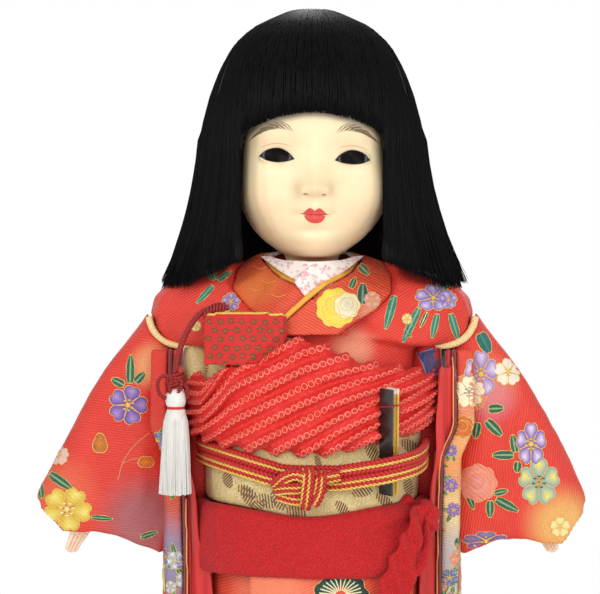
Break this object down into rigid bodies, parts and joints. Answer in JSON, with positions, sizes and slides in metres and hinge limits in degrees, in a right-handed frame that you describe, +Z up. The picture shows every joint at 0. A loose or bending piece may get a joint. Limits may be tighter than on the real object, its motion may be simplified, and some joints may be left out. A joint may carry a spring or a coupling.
{
  "type": "ichimatsu doll",
  "caption": "Standing child doll with a bobbed wig, glass eyes and a long-sleeved silk kimono tied with a brocade obi, with a turning head, hinged arms and a fan that slides out.",
  "frame": {"origin": "on the floor, under the middle of the doll's extent", "axes": "+Z up, the doll faces -Y, its own left is +X"},
  "size_m": [0.232, 0.1054, 0.4246],
  "materials": {
    "skin": "polished shell-white over a composition core",
    "eye": "dark brown glass",
    "hair": "straight black silk strands",
    "wood": "plain",
    "composition": "pressed wood paste",
    "cotton": "stuffed cotton",
    "kimono": "printed ribbed silk crepe",
    "lining": "plain red silk",
    "plum": "plain plum silk",
    "gold_silk": "plain yellow silk",
    "pale_silk": "embroidered pale pink silk",
    "brocade": "gold-thread brocade",
    "shibori": "dappled tie-dyed silk",
    "braid": "braided red and gold silk",
    "crepe": "red crepe",
    "lacquer": "black lacquer",
    "paper_gold": "gold paper",
    "white_silk": "white silk floss",
    "sock": "white cotton",
    "sandal": "gold covered sole"
  },
  "bodies": {
    "body": {"torso": "composition", "wadding": "cotton", "thigh_left": "cotton", "thigh_right": "cotton", "shin_left": "skin", "shin_right": "skin", "foot_left": "sock", "foot_right": "sock", "sandal_sole_left": "sandal", "sandal_sole_right": "sandal", "sandal_strap_left": "lining", "sandal_strap_right": "lining", "bodice": "kimono", "kimono_collar": "kimono", "accent_collar": "gold_silk", "inner_collar": "pale_silk", "kimono_skirt": "kimono", "hem_roll": "lining", "front_overlap": "kimono", "underskirt": "pale_silk", "obi": "brocade", "obiage": "shibori", "obijime_upper": "braid", "obijime_lower": "braid", "obijime_knot": "braid", "bow_loop_left": "brocade", "bow_loop_right": "brocade", "bow_wrap": "brocade", "bow_tail": "brocade", "shigoki_band": "crepe", "shigoki_knot": "crepe", "shigoki_tail_long": "crepe", "pouch": "shibori", "tassel_cord": "braid"},
    "head": {"head": "skin", "neck_peg": "wood", "wig": "hair", "bangs": "hair", "eye_left": "eye", "eye_right": "eye"},
    "arm_left": {"upper_arm_left": "cotton", "forearm_left": "skin", "sleeve_left": "kimono", "sleeve_drop_left": "kimono", "sleeve_trim_left": "plum", "sleeve_lining_left": "lining"},
    "arm_right": {"upper_arm_right": "cotton", "forearm_right": "skin", "sleeve_right": "kimono", "sleeve_drop_right": "kimono", "sleeve_trim_right": "plum", "sleeve_lining_right": "lining"},
    "tassel": {"tassel_knot": "braid", "tassel": "white_silk"},
    "fan": {"fan_guard_outer": "lacquer", "fan_guard_inner": "lacquer", "fan_leaf": "paper_gold"}
  },
  "joints": [
    {"name": "head_turn", "type": "hinge", "parent": "body", "child": "head", "pos_m": [0, -0.0058, 0.316], "axis": [0, 0, 1], "range_deg": [-20, 20]},
    {"name": "arm_lift_left", "type": "hinge", "parent": "body", "child": "arm_left", "pos_m": [0.054, -0.0058, 0.298], "axis": [0, -1, 0], "range_deg": [0, 15]},
    {"name": "arm_lift_right", "type": "hinge", "parent": "body", "child": "arm_right", "pos_m": [-0.054, -0.0058, 0.298], "axis": [0, 1, 0], "range_deg": [0, 15]},
    {"name": "tassel_swing", "type": "hinge", "parent": "body", "child": "tassel", "pos_m": [-0.05444, -0.04304, 0.2742], "axis": [0, 1, 0], "range_deg": [-15, 15]},
    {"name": "fan_slide", "type": "slide", "parent": "body", "child": "fan", "axis": [0, -0.1564, 0.9877], "range_m": [0, 0.045]}
  ]
}
